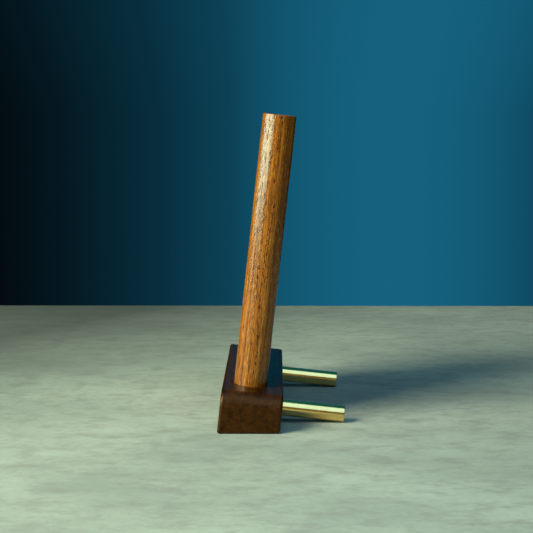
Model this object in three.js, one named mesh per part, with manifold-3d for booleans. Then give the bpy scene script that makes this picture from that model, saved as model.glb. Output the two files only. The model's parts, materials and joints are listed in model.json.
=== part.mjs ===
// A leaning display stand. A long dark hardwood block carries an upright board
// with fully rounded edges that leans back, and two brass rods reach out of the
// block's back face to the table, so that the stand can't tip over backwards.
//
// Units are millimetres, +Z is up. The block's long axis lies along Y, and the
// stand leans back towards +X, the side that the brass rods are on. The origin
// is on the table, under the middle of the whole stand's footprint.

import * as THREE from 'three';
import { mergeVertices } from 'three/addons/utils/BufferGeometryUtils.js';
import Module from 'manifold-3d';

const wasm = await Module();
wasm.setup();

// ---------------------------------------------------------------- dimensions

const lean = THREE.MathUtils.degToRad(6.2);   // how far the stand leans back

// The block. Its top and its two long sides are square to each other and lean,
// and its underside is planed flat to sit on the table.
const blockLength = 206;        // along Y
const blockWidth = 46;          // across the top, along the lean
const blockBackHeight = 27;     // up the leaning back face, the lower of the two
const longEdgeRadius = 1.8;     // easing of the four long edges
const endEdgeRadius = 1.5;      // easing of the edges around each end
const topEndRadius = 11;        // the large round where the top rolls over to each end
const arcSteps = 4;             // segments in each eased edge
const topEndSteps = 24;         // segments in each large round

// The board, cut from a plank whose two long edges are full half rounds.
const boardRadius = 12.5;       // of the half rounds, so half the board's thickness
const boardRise = 203.5;        // above the block's top
const boardSunk = 20;           // glued into the block
const boardFromBack = 25.2;     // the board's mid plane to the block's back face
const boardEase = 0.4;          // of the rims at its top and its foot
const boardSteps = 36;          // segments in each half round

// The brass rods, cut from round bar.
const rodRadius = 6.25;
const rodReach = 48;            // out of the block's back face
const rodSunk = 10.5;           // pressed into the block
const rodEase = 0.4;
const rodSides = 48;

// The board's half rounds and the rods are centred on the same two places along the block.
const station = blockLength / 2 - 39;
const clearance = 0.3;          // between a piece and the bore that it sits in
const weldDistance = 1e-4;      // closer corners than this are one corner
const segmentsPerStep = 2;      // three.js cuts an arc into this many for each curve segment

// The rods slope down with the lean, and their tips just touch the table.
const rodHeight = rodRadius + (rodReach - rodEase) * Math.tan(lean);

// ----------------------------------------------------------------- materials

function wood(color, roughness) {
  return new THREE.MeshStandardMaterial({ color, roughness, metalness: 0 });
}

function brass() {
  return new THREE.MeshStandardMaterial({ color: 0xd9b65a, roughness: 0.18, metalness: 1 });
}

// ------------------------------------------------------------ booleans, forms

// Puts a closed three.js geometry into manifold-3d.
function toSolid(geometry) {
  const bare = geometry.clone();
  bare.deleteAttribute('normal');
  bare.deleteAttribute('uv');
  const merged = mergeVertices(bare, weldDistance);
  return new wasm.Manifold(new wasm.Mesh({
    numProp: 3,
    vertProperties: new Float32Array(merged.attributes.position.array),
    triVerts: new Uint32Array(merged.index.array),
  }));
}

function toGeometry(solid) {
  const mesh = solid.getMesh();
  const geometry = new THREE.BufferGeometry();
  geometry.setAttribute('position', new THREE.BufferAttribute(mesh.vertProperties, 3));
  geometry.setIndex(new THREE.BufferAttribute(mesh.triVerts, 1));
  geometry.computeVertexNormals();
  return geometry;
}

// A round bar along +Z from z = 0, with its two rims eased.
function roundBar(radius, length, footEase, topEase, sides) {
  const profile = [
    new THREE.Vector2(0, 0),
    new THREE.Vector2(radius - footEase, 0),
    new THREE.Vector2(radius, footEase),
    new THREE.Vector2(radius, length - topEase),
    new THREE.Vector2(radius - topEase, length),
    new THREE.Vector2(0, length),
  ];
  const geometry = new THREE.LatheGeometry(profile, sides);
  geometry.rotateX(Math.PI / 2);
  return geometry;
}

// A plank's section: x through its thickness, y from one half-round edge to the other.
function plankSection(radius) {
  const outline = new THREE.Shape();
  outline.absarc(0, -station, radius, Math.PI, 2 * Math.PI);
  outline.absarc(0, station, radius, 0, Math.PI);
  return outline;
}

// A plank along +Z from z = 0, with the rims at both of its ends eased.
function plank(radius, length, ease) {
  const geometry = new THREE.ExtrudeGeometry(plankSection(radius), {
    depth: length - 2 * ease,
    steps: 1,
    bevelEnabled: ease > 0,
    bevelThickness: ease,
    bevelSize: ease,
    bevelOffset: -ease,
    bevelSegments: 1,
    curveSegments: boardSteps / segmentsPerStep,
  });
  geometry.translate(0, 0, ease);
  return geometry;
}

// The plain round tool that cuts a bore along +Z from z = 0.
function boreTool(radius, length, sides) {
  const geometry = new THREE.CylinderGeometry(radius, radius, length, sides);
  geometry.rotateX(Math.PI / 2);
  geometry.translate(0, 0, length / 2);
  return geometry;
}

// ---------------------------------------------------------- the leaning frame

// Distances inside the block are measured from the line where its back face
// meets the table: "up" runs up that face, and "out" runs square out of it.
const up = new THREE.Vector3(Math.sin(lean), 0, Math.cos(lean));
const out = new THREE.Vector3(Math.cos(lean), 0, -Math.sin(lean));

function leaningPoint(outwards, upwards, y) {
  const point = new THREE.Vector3(0, y, 0);
  point.addScaledVector(out, outwards);
  point.addScaledVector(up, upwards);
  return point;
}

// Turns a piece made along +Z to run along the given direction, from a point.
function place(object, direction, point) {
  object.quaternion.setFromUnitVectors(new THREE.Vector3(0, 0, 1), direction);
  object.position.copy(point);
  object.updateMatrix();
  return object;
}

function placedTool(geometry, direction, point) {
  const holder = place(new THREE.Object3D(), direction, point);
  return toSolid(geometry.clone().applyMatrix4(holder.matrix));
}

const boardFoot = leaningPoint(-boardFromBack, blockBackHeight - boardSunk, 0);
const rodRoot = (y) => leaningPoint(-rodSunk, rodHeight, y);

// ----------------------------------------------------------------- the block

// Adds one eased corner to an outline that is drawn anticlockwise.
function easedCorner(points, before, corner, after, radius) {
  const toBefore = before.clone().sub(corner).normalize();
  const toAfter = after.clone().sub(corner).normalize();
  const half = Math.acos(toBefore.dot(toAfter)) / 2;
  const bisector = toBefore.clone().add(toAfter).normalize();
  const centre = corner.clone().addScaledVector(bisector, radius / Math.sin(half));
  const start = corner.clone().addScaledVector(toBefore, radius / Math.tan(half)).sub(centre);
  const sweep = Math.PI - 2 * half;
  for (let i = 0; i <= arcSteps; i += 1) {
    const spoke = start.clone().rotateAround(new THREE.Vector2(), sweep * i / arcSteps);
    points.push(spoke.add(centre));
  }
}

// The block's section: x across, y up, with the underside on y = 0.
function blockSection() {
  const corner = (outwards, upwards) => {
    const point = leaningPoint(outwards, upwards, 0);
    return new THREE.Vector2(point.x, point.z);
  };
  // The leaning front face runs further down than the back face does.
  const frontDrop = blockWidth * Math.tan(lean);
  const corners = [
    corner(-blockWidth, -frontDrop),
    corner(0, 0),
    corner(0, blockBackHeight),
    corner(-blockWidth, blockBackHeight),
  ];
  const points = [];
  corners.forEach((here, i) => {
    const before = corners[(i + 3) % 4];
    const after = corners[(i + 1) % 4];
    easedCorner(points, before, here, after, longEdgeRadius);
  });
  return new THREE.Shape(points);
}

// A slab with the block's outline as seen square to its long sides, wider than
// the block: what is common to both has the large round at each end of the top.
function endRounding() {
  const below = -blockBackHeight;
  const centreAlong = blockLength / 2 - topEndRadius;
  const centreUp = blockBackHeight - topEndRadius;
  const outline = new THREE.Shape();
  outline.moveTo(-blockLength / 2, below);
  outline.lineTo(blockLength / 2, below);
  outline.absarc(centreAlong, centreUp, topEndRadius, 0, Math.PI / 2);
  outline.absarc(-centreAlong, centreUp, topEndRadius, Math.PI / 2, Math.PI);
  const slabWidth = 2 * blockWidth;
  const slab = new THREE.ExtrudeGeometry(outline, {
    depth: slabWidth,
    steps: 1,
    bevelEnabled: false,
    curveSegments: topEndSteps / segmentsPerStep,
  });
  const along = new THREE.Vector3(0, 1, 0);
  const turn = new THREE.Matrix4().makeBasis(along, up, out);
  turn.setPosition(leaningPoint(-(blockWidth + slabWidth) / 2, 0, 0));
  return slab.applyMatrix4(turn);
}

function blockGeometry() {
  const body = new THREE.ExtrudeGeometry(blockSection(), {
    depth: blockLength - 2 * endEdgeRadius,
    steps: 1,
    bevelEnabled: true,
    bevelThickness: endEdgeRadius,
    bevelSize: endEdgeRadius,
    bevelOffset: -endEdgeRadius,
    bevelSegments: arcSteps,
  });
  body.rotateX(Math.PI / 2);
  body.translate(0, blockLength / 2 - endEdgeRadius, 0);

  // Each tool is twice as long as its cut is deep, so it comes cleanly out of the block.
  const mortise = plank(boardRadius + clearance, 2 * boardSunk, 0);
  const rodBore = boreTool(rodRadius + clearance, 2 * rodSunk, rodSides);
  const mortiseStart = boardFoot.clone().addScaledVector(up, -clearance);
  let solid = toSolid(body).intersect(toSolid(endRounding()));
  solid = solid.subtract(placedTool(mortise, up, mortiseStart));
  for (const y of [-station, station]) {
    const rodStart = rodRoot(y).addScaledVector(out, -clearance);
    solid = solid.subtract(placedTool(rodBore, out, rodStart));
  }
  return toGeometry(solid);
}

// ------------------------------------------------------------------- assembly

const stand = new THREE.Group();

function addPiece(name, geometry, material) {
  const piece = new THREE.Mesh(geometry, material);
  piece.name = name;
  stand.add(piece);
  return piece;
}

addPiece('base_block', blockGeometry(), wood(0x2e1b10, 0.35));

const boardForm = toGeometry(toSolid(plank(boardRadius, boardRise + boardSunk, boardEase)));
place(addPiece('upright_board', boardForm, wood(0xa8733c, 0.45)), up, boardFoot);

const rodForm = roundBar(rodRadius, rodReach + rodSunk, rodEase, rodEase, rodSides);
for (const [end, y] of [['front', -station], ['rear', station]]) {
  place(addPiece(`${end}_brass_rod`, rodForm, brass()), out, rodRoot(y));
}

// Stands the origin under the middle of the footprint.
const footprint = new THREE.Box3().setFromObject(stand, true);
const middle = footprint.getCenter(new THREE.Vector3());
stand.position.set(-middle.x, -middle.y, -footprint.min.z);

export default stand;
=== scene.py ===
"""The looks of a leaning display stand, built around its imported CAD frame.

Units are metres. +Z is up, the block runs along Y, and the stand leans back towards +X.
"""

import json
import math

import bmesh
import bpy
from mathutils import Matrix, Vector, noise


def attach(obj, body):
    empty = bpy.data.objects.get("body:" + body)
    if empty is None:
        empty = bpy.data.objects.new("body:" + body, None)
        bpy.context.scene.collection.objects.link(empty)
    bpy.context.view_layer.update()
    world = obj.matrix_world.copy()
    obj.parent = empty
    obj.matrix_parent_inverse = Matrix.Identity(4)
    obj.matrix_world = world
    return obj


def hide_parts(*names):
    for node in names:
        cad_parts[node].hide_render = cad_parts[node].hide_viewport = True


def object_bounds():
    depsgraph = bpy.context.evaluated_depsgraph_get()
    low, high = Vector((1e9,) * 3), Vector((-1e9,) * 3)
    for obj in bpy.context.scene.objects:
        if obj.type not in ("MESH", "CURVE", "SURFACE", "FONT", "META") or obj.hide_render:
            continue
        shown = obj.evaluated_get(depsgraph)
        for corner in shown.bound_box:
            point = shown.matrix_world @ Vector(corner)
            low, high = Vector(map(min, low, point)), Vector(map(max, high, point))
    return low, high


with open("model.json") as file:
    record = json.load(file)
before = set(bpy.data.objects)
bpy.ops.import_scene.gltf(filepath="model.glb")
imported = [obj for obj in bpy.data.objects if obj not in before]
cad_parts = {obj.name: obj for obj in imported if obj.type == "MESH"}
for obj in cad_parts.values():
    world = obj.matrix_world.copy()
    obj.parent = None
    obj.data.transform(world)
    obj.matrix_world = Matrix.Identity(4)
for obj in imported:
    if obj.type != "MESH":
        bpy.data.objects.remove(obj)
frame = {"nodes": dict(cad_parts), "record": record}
cad_low, cad_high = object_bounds()

MM = 0.001
ROD_ENDS = ("front", "rear")  # the ends of the block that the two rods are near

# ------------------------------------------------------------------ the leaning directions

# The ledge is on the block's top face, so its axis is the direction that the board follows.
ledge = next(m for m in frame["record"]["mounts"] if m["name"] == "display_ledge")
ALONG = Vector((0.0, 1.0, 0.0))
UP = Vector(ledge["axis"]).normalized()
OUT = ALONG.cross(UP)
LEAN = math.atan2(UP.x, UP.z)


def reach(node, direction):
    """How far a CAD node reaches along a direction, as (least, most)."""
    distances = [v.co.dot(direction) for v in frame["nodes"][node].data.vertices]
    return min(distances), max(distances)


def leaning(out, along, up):
    """The point at these distances along OUT, ALONG and UP."""
    return OUT * out + ALONG * along + UP * up


# ------------------------------------------------------------------------- mesh helpers

EASE_STEPS = 8              # segments in each eased edge
FLAT_WEIGHT = 90            # how far flat faces decide the normals at their edges
END_RINGS = (0.3, 0.6, 0.85)  # rings on a bar's cut ends, as shares of its radius
WOBBLE_AROUND = 1.4         # how quickly a bar's unevenness changes around it
WOBBLE_ALONG = 30           # and along it, per metre
WOBBLE_APART = 20           # and from one bar to another, per metre between them
ON_END = 0.01 * MM          # how close to a bar's end a vertex counts as on it


def finished_object(name, mesh, material, node):
    """A new piece that takes a CAD node's place, on the stand's one body."""
    piece = bpy.data.objects.new(name, mesh)
    bpy.context.scene.collection.objects.link(piece)
    mesh.materials.append(material)
    for face in mesh.polygons:
        face.use_smooth = True
    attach(piece, "root")
    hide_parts(node)
    return piece


def mark_sharp(mesh, degrees):
    """Marks the edges that turn by more than this angle as sharp."""
    work = bmesh.new()
    work.from_mesh(mesh)
    for edge in work.edges:
        folded = edge.is_manifold and edge.calc_face_angle(0.0) > math.radians(degrees)
        edge.smooth = not folded
    work.to_mesh(mesh)
    work.free()


def keep_flats_flat(piece):
    """Gives flat faces their own normals, so that only the eased edges shade as round."""
    flats = piece.modifiers.new("flat_faces", "WEIGHTED_NORMAL")
    flats.keep_sharp = True
    flats.weight = FLAT_WEIGHT


def cross_section(node, axis):
    """The centre of a CAD bar or board, half its thickness, and half the width of its flats."""
    across = OUT if axis is UP else UP
    side_low, side_high = reach(node, ALONG)
    across_low, across_high = reach(node, across)
    middle = ALONG * ((side_low + side_high) / 2) + across * ((across_low + across_high) / 2)
    radius = (across_high - across_low) / 2
    return middle, radius, max(0.0, (side_high - side_low) / 2 - radius)


def lathe(name, start, axis, profile, sides, half_width=0.0, wobble=0.0):
    """A closed round bar, from a profile of (radius, distance along the axis).

    The profile starts and ends on the axis. half_width pulls the bar's two halves apart along
    ALONG, which makes it a board with half-round edges. wobble is how far the surface dips
    inwards here and there, as on hand-finished stock. Each vertex keeps its radius, for the
    turning marks on a cut end.
    """
    across = ALONG.copy()
    third = axis.cross(across)
    work = bmesh.new()
    radius_layer = work.verts.layers.float.new("from_axis")
    rings = []
    for radius, distance in profile:
        centre = start + axis * distance
        if radius == 0.0:
            ring = [work.verts.new(centre)]
        else:
            ring = []
            for i in range(sides):
                turn = 2 * math.pi * (i + 0.5) / sides
                spoke = across * math.cos(turn) + third * math.sin(turn)
                edge = centre + across * math.copysign(half_width, math.cos(turn))
                sample = spoke * WOBBLE_AROUND + axis * distance * WOBBLE_ALONG
                sample += start * WOBBLE_APART
                dip = wobble * 0.5 * (1 + noise.noise(sample))
                ring.append(work.verts.new(edge + spoke * (radius - dip)))
        for vert in ring:
            vert[radius_layer] = radius
        rings.append(ring)
    for lower, upper in zip(rings, rings[1:]):
        for i in range(sides):
            j = (i + 1) % sides
            if len(lower) == 1:
                work.faces.new((lower[0], upper[j], upper[i]))
            elif len(upper) == 1:
                work.faces.new((lower[i], lower[j], upper[0]))
            else:
                work.faces.new((lower[i], lower[j], upper[j], upper[i]))
    bmesh.ops.recalc_face_normals(work, faces=work.faces)
    mesh = bpy.data.meshes.new(name)
    work.to_mesh(mesh)
    work.free()
    return mesh


def eased_rim(radius, distance, ease, sign):
    """The quarter round between a bar's side and its end. sign is -1 at the start, 1 at the end."""
    points = []
    for i in range(EASE_STEPS + 1):
        turn = math.pi / 2 * i / EASE_STEPS
        from_axis = radius - ease + ease * math.cos(turn)
        points.append((from_axis, distance - sign * ease * (1 - math.sin(turn))))
    return points if sign > 0 else points[::-1]


def bar_profile(radius, length, foot_ease, end_ease, spacing):
    """Profile of a bar with eased rims, with rings along its side and on both ends."""
    foot = [(0.0, 0.0)] + [(radius * share, 0.0) for share in END_RINGS]
    foot += eased_rim(radius, 0.0, foot_ease, -1)
    end = eased_rim(radius, length, end_ease, 1)
    end += [(radius * share, length) for share in reversed(END_RINGS)]
    side_length = length - foot_ease - end_ease
    count = max(2, round(side_length / spacing))
    side = [(radius, foot_ease + side_length * i / count) for i in range(1, count)]
    return foot + side + end + [(0.0, length)]


# ---------------------------------------------------------------------- material helpers


class Nodes:
    """A node tree being built: short calls that add nodes and link them."""

    def __init__(self, tree):
        self.tree = tree

    def put(self, socket, value):
        if isinstance(value, bpy.types.NodeSocket):
            self.tree.links.new(value, socket)
        else:
            socket.default_value = value

    def add(self, kind, values, **settings):
        """A node of this kind, with its settings and its input values or links."""
        made = self.tree.nodes.new(kind)
        for name, value in settings.items():
            setattr(made, name, value)
        for name, value in values.items():
            self.put(made.inputs[name], value)
        return made

    def ramp(self, factor, *stops):
        """A colour ramp from (place, value) stops. A value is a colour, or a number for grey."""
        made = self.add("ShaderNodeValToRGB", {"Fac": factor})
        points = made.color_ramp.elements
        while len(points) < len(stops):
            points.new(1.0)
        for point, (place, value) in zip(points, stops):
            point.position = place
            point.color = (*value, 1.0) if isinstance(value, tuple) else (value, value, value, 1.0)
        return made.outputs[0]

    def mix(self, factor, first, second, blend="MIX"):
        """Mixes two colours. A colour is a link or three numbers."""
        made = self.tree.nodes.new("ShaderNodeMix")
        made.data_type = "RGBA"
        made.blend_type = blend
        self.put(made.inputs[0], factor)
        for socket, value in ((made.inputs[6], first), (made.inputs[7], second)):
            self.put(socket, (*value, 1.0) if isinstance(value, tuple) else value)
        return made.outputs[2]

    def maths(self, operation, *values, clamp=False):
        made = self.tree.nodes.new("ShaderNodeMath")
        made.operation = operation
        made.use_clamp = clamp
        for socket, value in zip(made.inputs, values):
            self.put(socket, value)
        return made.outputs[0]

    def part(self, vector, axis):
        """One coordinate of a vector."""
        return self.add("ShaderNodeSeparateXYZ", {"Vector": vector}).outputs[axis]


class Shader(Nodes):
    """A material being built."""

    def __init__(self, name):
        self.material = bpy.data.materials.new(name)
        self.material.use_nodes = True
        super().__init__(self.material.node_tree)
        self.surface = self.tree.nodes["Principled BSDF"]
        self.coordinates = self.tree.nodes.new("ShaderNodeTexCoord").outputs["Object"]

    def leaning(self):
        """Coordinates turned so that X is OUT, Y is ALONG and Z is UP."""
        values = {"Vector": self.coordinates, "Rotation": (0.0, -LEAN, 0.0)}
        return self.add("ShaderNodeMapping", values).outputs[0]

    def stretched(self, vector, scale, shift=(0.0, 0.0, 0.0)):
        values = {"Vector": vector, "Scale": scale, "Location": shift}
        return self.add("ShaderNodeMapping", values).outputs[0]

    def noise(self, vector, detail=2.0, roughness=0.5):
        values = {"Vector": vector, "Scale": 1.0, "Detail": detail, "Roughness": roughness}
        return self.add("ShaderNodeTexNoise", values).outputs[0]

    def attribute(self, name):
        return self.add("ShaderNodeAttribute", {}, attribute_name=name).outputs["Fac"]

    def range(self, value, low, high, to_low, to_high):
        """The value carried from low...high to to_low...to_high, and held inside it."""
        values = {
            "Value": value,
            "From Min": low,
            "From Max": high,
            "To Min": to_low,
            "To Max": to_high,
        }
        return self.add("ShaderNodeMapRange", values).outputs[0]

    def bump(self, height, depth, strength=1.0, below=None):
        """Raises the surface by height times depth in metres, on top of the bump below it."""
        values = {"Height": height, "Distance": depth, "Strength": strength}
        if below is not None:
            values["Normal"] = below
        return self.add("ShaderNodeBump", values).outputs[0]


# ------------------------------------------------------------------------------- woods

BOARD_DARK = (0.205, 0.044, 0.0018)
BOARD_MIDDLE = (0.37, 0.100, 0.0036)
BOARD_PALE = (0.52, 0.180, 0.0130)
BOARD_RING = (0.17, 0.041, 0.0018)
BOARD_STREAK = (0.11, 0.026, 0.0012)
BOARD_FLECK = (0.64, 0.26, 0.025)
BOARD_FIBRE = (0.10, 0.023, 0.0012)
BOARD_PORE = (0.030, 0.006, 0.0005)
BOARD_END_GRAIN = (0.16, 0.045, 0.004)
BOARD_SHEEN = (1.0, 0.86, 0.62, 1.0)

WALNUT_DARK = (0.0038, 0.0008, 0.0002)
WALNUT_MIDDLE = (0.0090, 0.0022, 0.0003)
WALNUT_PALE = (0.022, 0.0066, 0.0006)
WALNUT_RING = (0.0040, 0.0010, 0.0002)
WALNUT_MOTTLE = (0.042, 0.0088, 0.0006)
WALNUT_FIBRE = (0.0035, 0.0009, 0.0002)
WALNUT_PORE = (0.002, 0.0007, 0.0002)
WALNUT_WORN = (0.040, 0.0120, 0.0016)
WALNUT_SHEEN = (1.0, 0.47, 0.18, 1.0)


def board_wood():
    """Orange-brown hardwood with its grain up the board: bands, dark streaks and open pores."""
    s = Shader("board_hardwood")
    grain = s.leaning()

    drift = s.noise(s.stretched(grain, (50.0, 50.0, 4.0)), detail=2.0)
    bend = s.mix(0.994, drift, (0.0, 0.0, 0.0))
    bent = s.add("ShaderNodeVectorMath", {0: grain, 1: bend}, operation="ADD").outputs[0]
    rings = s.add(
        "ShaderNodeTexWave",
        {
            "Vector": s.stretched(bent, (1.0, 1.0, 0.06), shift=(0.055, 0.03, 0.0)),
            "Scale": 95.0,
            "Distortion": 3.0,
            "Detail": 3.0,
            "Detail Scale": 2.4,
        },
        wave_type="RINGS",
        rings_direction="Z",
    ).outputs["Fac"]
    bands = s.noise(s.stretched(bent, (260.0, 260.0, 5.0)), detail=3.0, roughness=0.6)
    streak_field = s.stretched(bent, (800.0, 800.0, 16.0), shift=(3.0, 1.0, 0.0))
    streaks = s.noise(streak_field, detail=3.0, roughness=0.7)
    fibres = s.noise(s.stretched(grain, (1300.0, 1300.0, 75.0)), detail=4.0, roughness=0.8)
    fleck_field = s.stretched(grain, (1200.0, 1200.0, 190.0), shift=(9.0, 2.0, 4.0))
    flecks = s.noise(fleck_field, detail=2.0)
    pore_field = s.stretched(grain, (1500.0, 1500.0, 260.0), shift=(0.0, 7.0, 0.0))
    open_pores = s.ramp(s.noise(pore_field, detail=1.0), (0.57, 0.0), (0.63, 1.0))
    pore_zones = s.ramp(rings, (0.25, 0.25), (0.75, 1.0))
    pores = s.maths("MULTIPLY", open_pores, pore_zones)

    colour = s.ramp(bands, (0.34, BOARD_DARK), (0.50, BOARD_MIDDLE), (0.68, BOARD_PALE))
    colour = s.mix(s.maths("MULTIPLY", rings, 0.35), colour, BOARD_RING)
    colour = s.mix(s.ramp(streaks, (0.47, 0.0), (0.60, 0.75)), colour, BOARD_STREAK)
    colour = s.mix(s.ramp(flecks, (0.54, 0.0), (0.66, 0.40)), colour, BOARD_FLECK)
    colour = s.mix(s.ramp(fibres, (0.38, 0.90), (0.50, 0.0)), colour, BOARD_FIBRE)
    colour = s.mix(s.maths("MULTIPLY", pores, 0.9), colour, BOARD_PORE)

    # Cut across the grain, the top is darker and drinks up its finish.
    end = s.attribute("end_grain")
    colour = s.mix(s.maths("MULTIPLY", end, 0.45), colour, BOARD_END_GRAIN)
    s.put(s.surface.inputs["Base Color"], colour)

    gloss = s.range(fibres, 0.3, 0.7, 0.27, 0.18)
    gloss = s.maths("ADD", gloss, s.maths("MULTIPLY", pores, 0.25))
    gloss = s.maths("ADD", gloss, s.maths("MULTIPLY", end, 0.2), clamp=True)
    s.put(s.surface.inputs["Roughness"], gloss)
    s.surface.inputs["IOR"].default_value = 1.6
    s.surface.inputs["Specular Tint"].default_value = BOARD_SHEEN
    # Pores and dark fibres hold no finish, so they don't shine.
    dry_fibres = s.ramp(fibres, (0.38, 0.20), (0.50, 0.0))
    dry = s.maths("ADD", s.maths("MULTIPLY", pores, 0.38), dry_fibres)
    s.put(s.surface.inputs["Specular IOR Level"], s.maths("SUBTRACT", 0.55, dry, clamp=True))

    relief = s.bump(fibres, 0.06 * MM, strength=0.6)
    relief = s.bump(s.maths("SUBTRACT", 1.0, pores), 0.12 * MM, strength=0.7, below=relief)
    s.put(s.surface.inputs["Normal"], relief)
    return s.material


def block_wood():
    """Dark walnut with its grain along the block, under a clear semi-gloss coat."""
    s = Shader("dark_walnut")
    grain = s.leaning()

    ring_field = s.stretched(grain, (1.0, 0.10, 1.0), shift=(0.012, 0.0, 0.060))
    rings = s.add(
        "ShaderNodeTexWave",
        {
            "Vector": ring_field,
            "Scale": 88.0,
            "Distortion": 4.5,
            "Detail": 3.0,
            "Detail Scale": 2.2,
        },
        wave_type="RINGS",
        rings_direction="Y",
    ).outputs["Fac"]
    clouds = s.noise(s.stretched(grain, (170.0, 9.0, 210.0)), detail=3.0, roughness=0.6)
    mottle = s.noise(s.stretched(grain, (480.0, 22.0, 480.0)), detail=3.0, roughness=0.65)
    fibres = s.noise(s.stretched(grain, (2100.0, 55.0, 2100.0)), detail=2.0, roughness=0.7)
    pore_field = s.stretched(grain, (1700.0, 110.0, 1700.0), shift=(5.0, 0.0, 2.0))
    pores = s.ramp(s.noise(pore_field, detail=1.0), (0.60, 0.0), (0.68, 1.0))

    colour = s.ramp(clouds, (0.34, WALNUT_DARK), (0.50, WALNUT_MIDDLE), (0.68, WALNUT_PALE))
    colour = s.mix(s.maths("MULTIPLY", rings, 0.5), colour, WALNUT_RING)
    colour = s.mix(s.ramp(mottle, (0.48, 0.0), (0.62, 0.85)), colour, WALNUT_MOTTLE)
    colour = s.mix(s.ramp(fibres, (0.30, 0.4), (0.55, 0.0)), colour, WALNUT_FIBRE)
    colour = s.mix(s.maths("MULTIPLY", pores, 0.7), colour, WALNUT_PORE)

    # Handling has rubbed the eased edges a little paler and duller.
    worn = s.maths("MULTIPLY", s.attribute("eased"), s.ramp(clouds, (0.42, 0.25), (0.62, 1.0)))
    colour = s.mix(s.maths("MULTIPLY", worn, 0.35), colour, WALNUT_WORN)
    s.put(s.surface.inputs["Base Color"], colour)

    gloss = s.range(clouds, 0.3, 0.7, 0.31, 0.36)
    gloss = s.maths("ADD", gloss, s.maths("MULTIPLY", pores, 0.12))
    gloss = s.maths("ADD", gloss, s.maths("MULTIPLY", worn, 0.08), clamp=True)
    s.put(s.surface.inputs["Roughness"], gloss)
    s.surface.inputs["IOR"].default_value = 1.5
    s.surface.inputs["Specular Tint"].default_value = WALNUT_SHEEN

    relief = s.bump(mottle, 0.04 * MM, strength=0.5)
    relief = s.bump(fibres, 0.03 * MM, strength=0.4, below=relief)
    relief = s.bump(s.maths("SUBTRACT", 1.0, pores), 0.06 * MM, strength=0.5, below=relief)
    s.put(s.surface.inputs["Normal"], relief)
    return s.material


# ------------------------------------------------------------------------------- brass

BRASS_RED = (0.90, 0.560, 0.185)
BRASS_YELLOW = (0.95, 0.640, 0.240)
BRASS_SPECK = (0.42, 0.25, 0.08)
TURNING_PITCH = 0.35 * MM   # between the turning marks on a cut end


def polished_brass():
    """Drawn brass bar, polished, with fine lines along it and turning marks on the cut ends."""
    s = Shader("polished_brass")
    drawn = s.leaning()
    lines = s.noise(s.stretched(drawn, (45.0, 3200.0, 3200.0)), detail=3.0, roughness=0.6)
    handled = s.noise(s.stretched(drawn, (120.0, 120.0, 120.0)), detail=3.0, roughness=0.6)
    speck_field = s.noise(s.stretched(drawn, (900.0, 900.0, 900.0)), detail=2.0)
    specks = s.ramp(speck_field, (0.64, 0.0), (0.70, 1.0))

    colour = s.ramp(handled, (0.30, BRASS_RED), (0.60, BRASS_YELLOW))
    colour = s.mix(s.maths("MULTIPLY", specks, 0.35), colour, BRASS_SPECK)
    s.put(s.surface.inputs["Base Color"], colour)
    s.surface.inputs["Metallic"].default_value = 1.0

    gloss = s.range(handled, 0.35, 0.65, 0.13, 0.19)
    gloss = s.maths("ADD", gloss, s.range(lines, 0.35, 0.65, -0.02, 0.04))
    s.put(s.surface.inputs["Roughness"], gloss)

    turns = s.maths("MULTIPLY", s.attribute("from_axis"), 2 * math.pi / TURNING_PITCH)
    turned = s.maths("MULTIPLY", s.maths("SINE", turns), s.attribute("cut_end"))
    relief = s.bump(lines, 0.004 * MM, strength=0.5)
    relief = s.bump(turned, 0.01 * MM, strength=0.6, below=relief)
    s.put(s.surface.inputs["Normal"], relief)
    return s.material


# --------------------------------------------------------------------------- the block

BLOCK_OUT = reach("base_block", OUT)
BLOCK_ALONG = reach("base_block", ALONG)
BLOCK_TOP = reach("base_block", UP)[1]
TOP_END_ROUND = 11.0 * MM   # the large round where the top rolls over to each end
TOP_END_STEPS = 24
EDGE_EASE = 2.1 * MM        # on every other edge
EDGE_TURN = 45              # degrees: edges that turn by more than this are eased
BORE_GAP = 0.12 * MM        # how much wider a bore looks than the bar in it
BORE_CHAMFER = 0.35 * MM
BORE_SIDES = 96
BLOCK_CREASE = 32           # degrees: edges that turn by more than this shade as sharp


def bore_cutter(name, node, axis, mouth):
    """A cutter for the seat that a CAD bar or board stands in, flared at the block's face."""
    low = reach(node, axis)[0]
    middle, radius, half_width = cross_section(node, axis)
    bore = radius + BORE_GAP
    depth = mouth - low
    profile = [
        (0.0, -BORE_GAP),
        (bore, -BORE_GAP),
        (bore, depth - BORE_CHAMFER),
        (bore + 2 * BORE_CHAMFER, depth + BORE_CHAMFER),
        (0.0, depth + BORE_CHAMFER),
    ]
    mesh = lathe(name, middle + axis * low, axis, profile, BORE_SIDES, half_width)
    cutter = bpy.data.objects.new(name, mesh)
    bpy.context.scene.collection.objects.link(cutter)
    return cutter


def side_outline(out):
    """The block's outline at this distance along OUT: the underside, then the rounds on top."""
    front, far = BLOCK_ALONG
    underside = out * math.tan(LEAN)
    outline = [(front, underside), (far, underside)]
    for centre, first in ((far - TOP_END_ROUND, 0.0), (front + TOP_END_ROUND, math.pi / 2)):
        for i in range(TOP_END_STEPS + 1):
            turn = first + math.pi / 2 * i / TOP_END_STEPS
            along = centre + TOP_END_ROUND * math.cos(turn)
            outline.append((along, BLOCK_TOP - TOP_END_ROUND + TOP_END_ROUND * math.sin(turn)))
    return [leaning(out, along, up) for along, up in outline]


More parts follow.
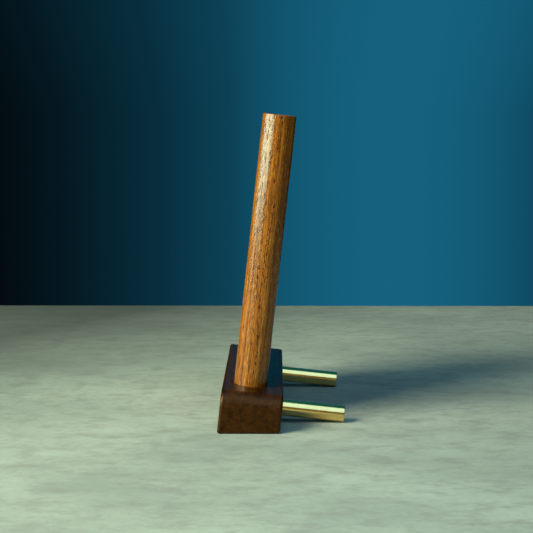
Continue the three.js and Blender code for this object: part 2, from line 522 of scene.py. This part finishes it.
def block_mesh():
    """The block without its bores, with its sharp edges eased."""
    work = bmesh.new()
    eased_layer = work.verts.layers.float.new("eased")
    sides = [[work.verts.new(point) for point in side_outline(out)] for out in BLOCK_OUT]
    count = len(sides[0])
    for i in range(count):
        j = (i + 1) % count
        work.faces.new((sides[0][i], sides[0][j], sides[1][j], sides[1][i]))
    for side in sides:
        work.faces.new(side)
    bmesh.ops.recalc_face_normals(work, faces=work.faces)
    sharp = [edge for edge in work.edges if edge.calc_face_angle() > math.radians(EDGE_TURN)]
    eased = bmesh.ops.bevel(
        work,
        geom=sharp,
        offset=EDGE_EASE,
        segments=EASE_STEPS,
        profile=0.5,
        affect="EDGES",
        clamp_overlap=False,
    )
    for vert in eased["verts"]:
        vert[eased_layer] = 1.0
    mesh = bpy.data.meshes.new("walnut_block")
    work.to_mesh(mesh)
    work.free()
    return mesh


def bored(mesh):
    """The block's mesh with the board's mortise and the two bores cut out of it."""
    blank = bpy.data.objects.new("block_blank", mesh)
    bpy.context.scene.collection.objects.link(blank)
    cutters = [bore_cutter("board_mortise", "upright_board", UP, BLOCK_TOP)]
    for end in ROD_ENDS:
        cutters.append(bore_cutter(f"{end}_rod_bore", f"{end}_brass_rod", OUT, BLOCK_OUT[1]))
    for cutter in cutters:
        cut = blank.modifiers.new(cutter.name, "BOOLEAN")
        cut.operation = "DIFFERENCE"
        cut.solver = "EXACT"
        cut.object = cutter
    evaluated = blank.evaluated_get(bpy.context.evaluated_depsgraph_get())
    result = bpy.data.meshes.new_from_object(evaluated)
    for used in (blank, *cutters):
        bpy.data.objects.remove(used)
    return result


def build_block():
    mesh = bored(block_mesh())
    mesh.name = "walnut_block"
    mark_sharp(mesh, BLOCK_CREASE)
    piece = finished_object("walnut_block", mesh, block_wood(), "base_block")
    keep_flats_flat(piece)


# ------------------------------------------------------------------- the board and rods

BAR_CREASE = 50             # degrees: edges that turn by more than this shade as sharp
BOARD_FOOT_EASE = 0.8 * MM
BOARD_TOP_EASE = 0.5 * MM
BOARD_SPACING = 4 * MM      # between the rings of vertices up the board
BOARD_SIDES = 128
BOARD_WOBBLE = 0.05 * MM
ROD_EASE = 0.42 * MM
ROD_SPACING = 3 * MM
ROD_SIDES = 96


def bar_from_node(name, node, axis, foot_ease, end_ease, spacing, sides, wobble=0.0):
    """A bar or a round-edged board that fills the place of the CAD one."""
    low, high = reach(node, axis)
    middle, radius, half_width = cross_section(node, axis)
    profile = bar_profile(radius, high - low, foot_ease, end_ease, spacing)
    return lathe(name, middle + axis * low, axis, profile, sides, half_width, wobble)


def mark_end(mesh, attribute, axis, reached):
    """Gives 1 to the vertices on a bar's far end, and 0 to the rest."""
    layer = mesh.attributes.new(attribute, "FLOAT", "POINT")
    for vert, value in zip(mesh.vertices, layer.data):
        value.value = 1.0 if vert.co.dot(axis) > reached - ON_END else 0.0


def build_board():
    node = "upright_board"
    mesh = bar_from_node(
        "round_edged_board",
        node,
        UP,
        BOARD_FOOT_EASE,
        BOARD_TOP_EASE,
        BOARD_SPACING,
        BOARD_SIDES,
        BOARD_WOBBLE,
    )
    mark_end(mesh, "end_grain", UP, reach(node, UP)[1])
    mark_sharp(mesh, BAR_CREASE)
    piece = finished_object("round_edged_board", mesh, board_wood(), node)
    keep_flats_flat(piece)


def build_rod(end, material):
    node = f"{end}_brass_rod"
    mesh = bar_from_node(
        f"{end}_polished_rod", node, OUT, ROD_EASE, ROD_EASE, ROD_SPACING, ROD_SIDES
    )
    mark_end(mesh, "cut_end", OUT, reach(node, OUT)[1])
    mark_sharp(mesh, BAR_CREASE)
    piece = finished_object(f"{end}_polished_rod", mesh, material, node)
    keep_flats_flat(piece)


# --------------------------------------------------------------------------- the studio

TABLE_HALF_WIDTH = 3.0
TABLE_FRONT = -2.5
TABLE_END = 0.53            # behind the stand, below the wall
TABLE_THICKNESS = 0.03
TABLE_DARK = (0.275, 0.310, 0.250)
TABLE_PALE = (0.415, 0.460, 0.365)
TABLE_SPOT = (0.225, 0.228, 0.190)
TABLE_GRAIN = (0.20, 0.22, 0.18)
# Painted shade: the table's colour at its far left, standing in for the light falling off there.
TABLE_PAINTED_SHADE = (0.045, 0.050, 0.042)
UNLIT_SLANT = 0.55          # how the edge of the painted shade slants across the table


def build_floor():
    """A pale table top that ends some way behind the stand."""
    s = Shader("pale_table")
    cloud = s.noise(s.stretched(s.coordinates, (5.0, 9.0, 5.0)), detail=5.0, roughness=0.6)
    fine = s.noise(s.stretched(s.coordinates, (160.0, 160.0, 160.0)), detail=4.0, roughness=0.7)
    spots = s.noise(s.stretched(s.coordinates, (38.0, 60.0, 38.0)), detail=4.0, roughness=0.65)
    colour = s.ramp(cloud, (0.32, TABLE_DARK), (0.66, TABLE_PALE))
    colour = s.mix(s.ramp(spots, (0.47, 0.0), (0.68, 0.60)), colour, TABLE_SPOT)
    colour = s.mix(s.ramp(fine, (0.35, 0.25), (0.60, 0.0)), colour, TABLE_GRAIN)
    # Painted shade: the table's colour darkens towards the far left, where the light is taken to
    # fall off.
    sideways = s.part(s.coordinates, "X")
    backwards = s.part(s.coordinates, "Y")
    lit = s.maths("SUBTRACT", sideways, s.maths("MULTIPLY", backwards, UNLIT_SLANT))
    colour = s.mix(s.range(lit, -0.45, -0.12, 0.80, 0.0), colour, TABLE_PAINTED_SHADE)
    s.put(s.surface.inputs["Base Color"], colour)
    s.surface.inputs["Roughness"].default_value = 0.7
    s.surface.inputs["Specular IOR Level"].default_value = 0.25
    s.put(s.surface.inputs["Normal"], s.bump(fine, 0.2 * MM, strength=0.4))

    work = bmesh.new()
    left, right = -TABLE_HALF_WIDTH, TABLE_HALF_WIDTH
    outline = [(left, TABLE_FRONT), (right, TABLE_FRONT), (right, TABLE_END), (left, TABLE_END)]
    top = work.faces.new([work.verts.new((x, y, 0.0)) for x, y in outline])
    extruded = bmesh.ops.extrude_face_region(work, geom=[top])["geom"]
    lowered = [part for part in extruded if isinstance(part, bmesh.types.BMVert)]
    bmesh.ops.translate(work, verts=lowered, vec=(0, 0, -TABLE_THICKNESS))
    bmesh.ops.recalc_face_normals(work, faces=work.faces)
    mesh = bpy.data.meshes.new("floor")
    work.to_mesh(mesh)
    work.free()
    mesh.materials.append(s.material)
    floor = bpy.data.objects.new("floor", mesh)
    bpy.context.scene.collection.objects.link(floor)


def aim(thing, place, target):
    thing.location = place
    thing.rotation_euler = (Vector(target) - Vector(place)).to_track_quat("-Z", "Y").to_euler()


def softbox(name, place, target, width, height, power, colour):
    lamp = bpy.data.lights.new(name, "AREA")
    lamp.shape = "RECTANGLE"
    lamp.size = width
    lamp.size_y = height
    lamp.energy = power
    lamp.color = colour
    lamp_object = bpy.data.objects.new(name, lamp)
    bpy.context.scene.collection.objects.link(lamp_object)
    aim(lamp_object, place, target)
    lamp_object.visible_camera = False


def around(azimuth, elevation, distance):
    """A place at these degrees clockwise from the viewer's side and up from the table."""
    a, e = math.radians(azimuth), math.radians(elevation)
    return Vector((-math.sin(a) * math.cos(e), -math.cos(a) * math.cos(e), math.sin(e))) * distance


# Lamps around the stand's middle: azimuth, elevation, width, height, power in watts, colour.
LAMPS = {
    "window": (56, 32, 0.8, 1.0, 45.0, (1.0, 0.98, 0.74)),
    "low_strip": (68, 8.5, 2.2, 0.27, 26.0, (0.50, 1.0, 1.0)),
}
LAMP_DISTANCE = 1.6

# A panel that faces down, overhead on the viewer's side of the stand.
PANEL_OVER = Vector((0.24, -1.28, 0.0))
PANEL_HEIGHT = Vector((0.0, 0.0, 1.2))
PANEL_SIZE = (0.8, 2.35)
PANEL_POWER = 12.0
PANEL_COLOUR = (0.40, 0.70, 1.0)

WALL_DIRECTION = Vector((0.09, 1.0, 0.0)).normalized()
CEILING_SPREAD = 2.0        # how far the wall's teal reaches up over the stand

# The room around the stand, from the viewer's side (-1) to the teal wall behind the stand (1).
ROOM_STOPS = (
    (-1.0, (0.20, 0.165, 0.065)),
    (-0.9, (0.12, 0.10, 0.04)),
    (-0.6, (0.0010, 0.0030, 0.0040)),
    (0.955, (0.0010, 0.0030, 0.0040)),
    (0.972, (0.0015, 0.0113, 0.0186)),
    (0.9895, (0.0028, 0.0351, 0.0602)),
    (0.9955, (0.0049, 0.0744, 0.129)),
    (0.9988, (0.0075, 0.122, 0.212)),
)


def build_lamps():
    middle = (cad_low + cad_high) / 2
    for name, (azimuth, elevation, width, height, power, colour) in LAMPS.items():
        place = middle + around(azimuth, elevation, LAMP_DISTANCE)
        softbox(name, place, middle, width, height, power, colour)
    panel = PANEL_OVER + PANEL_HEIGHT
    softbox("overhead_panel", panel, PANEL_OVER, *PANEL_SIZE, PANEL_POWER, PANEL_COLOUR)


def build_room():
    """The teal wall, brightest behind the stand, that falls off to the dark room around it.

    Above the stand the teal spreads out, as on a ceiling lit by the wall.
    """
    world = bpy.data.worlds.new("studio")
    world.use_nodes = True
    room = Nodes(world.node_tree)
    view = room.add("ShaderNodeTexCoord", {}).outputs["Generated"]
    overhead = room.maths("MAXIMUM", room.part(view, "Z"), 0.0)
    spread = room.maths("MULTIPLY_ADD", overhead, CEILING_SPREAD, room.part(view, "Y"))
    level = room.add("ShaderNodeCombineXYZ", {"X": room.part(view, "X"), "Y": spread}).outputs[0]
    unit = room.add("ShaderNodeVectorMath", {0: level}, operation="NORMALIZE").outputs[0]
    towards_wall = room.add(
        "ShaderNodeVectorMath", {0: unit, 1: WALL_DIRECTION}, operation="DOT_PRODUCT"
    ).outputs["Value"]
    place_on_ramp = room.maths("MULTIPLY_ADD", towards_wall, 0.5, 0.5)
    stops = [((1 + towards) / 2, colour) for towards, colour in ROOM_STOPS]
    background = world.node_tree.nodes["Background"]
    room.put(background.inputs["Color"], room.ramp(place_on_ramp, *stops))
    bpy.context.scene.world = world
    bpy.context.scene.view_settings.view_transform = "Standard"


# --------------------------------------------------------------------------- the camera

FOCAL_LENGTH = 87.1         # mm on a 36 mm sensor
CAMERA_DISTANCE = 0.921     # from the block's front end
CAMERA_ASIDE = -0.0033      # from the line where the block's back face meets the table
CAMERA_YAW = 0.4            # degrees, to the left
CAMERA_PITCH = 6.79         # degrees, downwards


def build_camera():
    """Level with the board's top, looking along the block from its front end."""
    data = bpy.data.cameras.new("camera")
    data.sensor_width = 36.0
    data.lens = FOCAL_LENGTH
    camera = bpy.data.objects.new("camera", data)
    bpy.context.scene.collection.objects.link(camera)
    back_foot = BLOCK_OUT[1] / math.cos(LEAN)
    camera.location = (back_foot + CAMERA_ASIDE, cad_low.y - CAMERA_DISTANCE, cad_high.z)
    camera.rotation_euler = (math.radians(90 - CAMERA_PITCH), 0.0, math.radians(CAMERA_YAW))
    bpy.context.scene.camera = camera


# ------------------------------------------------------------------------------ the run

build_camera()
build_floor()
build_lamps()
build_room()
build_block()
build_board()
brass = polished_brass()
for stand_end in ROD_ENDS:
    build_rod(stand_end, brass)
